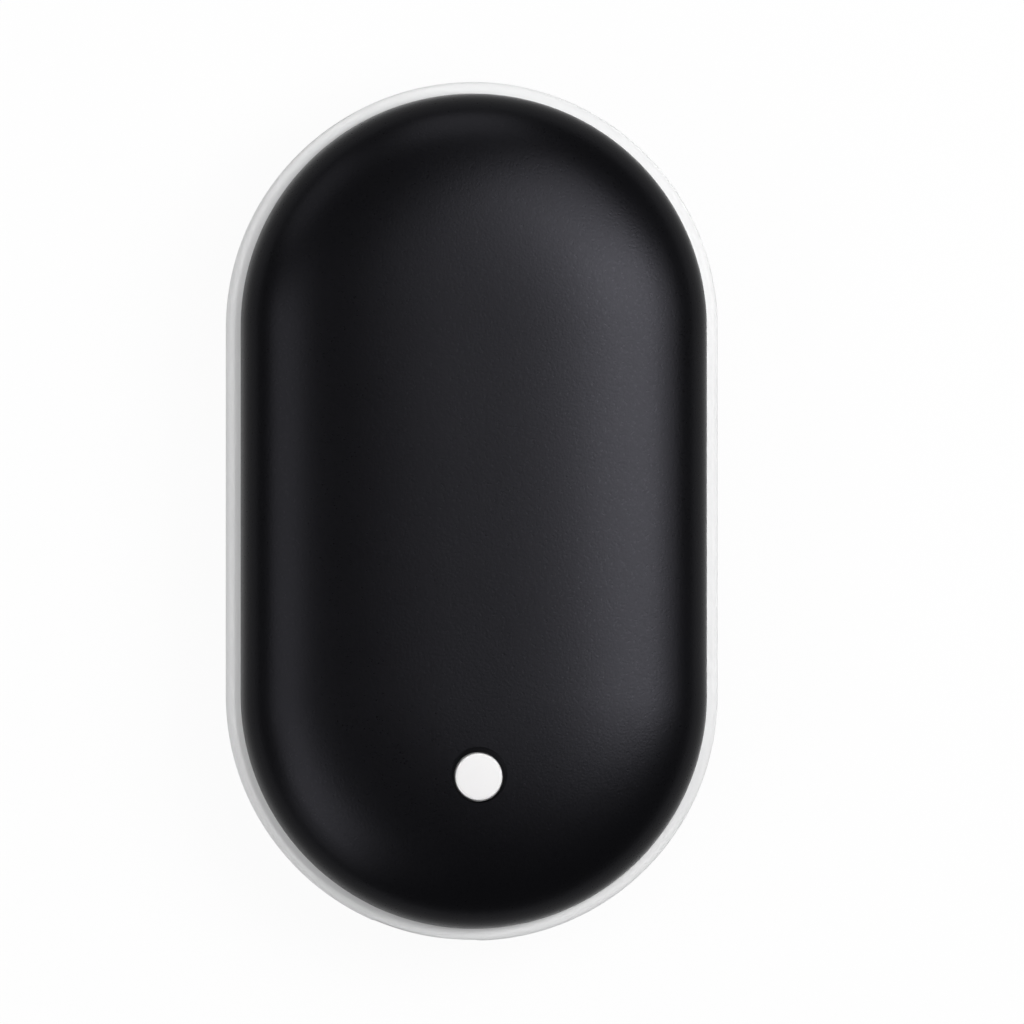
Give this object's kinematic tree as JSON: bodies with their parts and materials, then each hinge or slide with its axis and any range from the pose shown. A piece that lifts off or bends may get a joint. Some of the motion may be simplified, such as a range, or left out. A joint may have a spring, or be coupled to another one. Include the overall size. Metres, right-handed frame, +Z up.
{
  "type": "rechargeable hand warmer",
  "caption": "Pebble-shaped rechargeable hand warmer: two black metal shells on a white band, a press button on the front and charging and output ports in one end.",
  "frame": {"origin": "middle of the flat of the back shell, on which the warmer lies", "axes": "X across the width, +Y along the length away from the port end, +Z up out of the front, where the button is"},
  "size_m": [0.06, 0.105, 0.026],
  "materials": {
    "shell_metal": "matte",
    "white_plastic": "satin",
    "button_plastic": "satin",
    "black_plastic": "matte",
    "plated_steel": "satin",
    "amber_film": "gloss",
    "track_foil": "satin",
    "grey_foam": "matte",
    "sensor_glass": "gloss",
    "seal_silicone": "matte",
    "cell_can": "satin",
    "blue_sleeve": "gloss",
    "nickel": "satin",
    "board_laminate": "satin",
    "contact_gold": "polished",
    "ferrite": "matte",
    "chip_ceramic": "matte",
    "led_resin": "gloss",
    "red_insulation": "satin",
    "black_insulation": "satin",
    "white_insulation": "satin"
  },
  "bodies": {
    "housing": {"front_shell": "shell_metal", "back_shell": "shell_metal", "middle_frame": "white_plastic", "switch_base": "black_plastic", "switch_cover": "plated_steel", "snap_dome": "plated_steel", "front_heater_film": "amber_film", "back_heater_film": "amber_film", "front_heater_track": "track_foil", "back_heater_track": "track_foil", "front_foam_pad": "grey_foam", "back_foam_pad": "grey_foam", "front_thermistor": "sensor_glass", "back_thermistor": "sensor_glass", "front_seal_bead": "seal_silicone", "back_seal_bead": "seal_silicone", "cell_left": "cell_can", "cell_right": "cell_can", "sleeve_left": "blue_sleeve", "sleeve_right": "blue_sleeve", "cell_insulator_rings": "white_plastic", "nickel_strip_positive": "nickel", "nickel_strip_negative": "nickel", "main_board": "board_laminate", "output_port_shell": "plated_steel", "output_port_tongue": "white_plastic", "output_port_contacts": "contact_gold", "charging_port_shell": "plated_steel", "charging_port_tongue": "black_plastic", "charging_port_contacts": "contact_gold", "controller_chip": "black_plastic", "power_switches": "black_plastic", "power_inductor": "ferrite", "chip_capacitors": "chip_ceramic", "chip_resistors": "black_plastic", "status_leds": "led_resin", "board_screws": "plated_steel", "battery_lead_red": "red_insulation", "battery_lead_black": "black_insulation", "front_heater_leads": "red_insulation", "back_heater_leads": "black_insulation", "thermistor_leads": "white_insulation"},
    "button": {"button_cap": "button_plastic"},
    "plunger": {"switch_plunger": "black_plastic"}
  },
  "joints": [
    {"name": "button_press", "type": "slide", "parent": "housing", "child": "button", "axis": [0, 0, -1], "range_m": [0, 0.0003], "stiffness_N_per_m": 1000, "springref_m": -0.0008},
    {"name": "plunger_press", "type": "slide", "parent": "housing", "child": "plunger", "axis": [0, 0, -1], "range_m": [0, 0.0003], "deforming": ["snap_dome"]}
  ],
  "couplings": [
    {"joint": "plunger_press", "follows": "button_press", "ratio": 1}
  ]
}
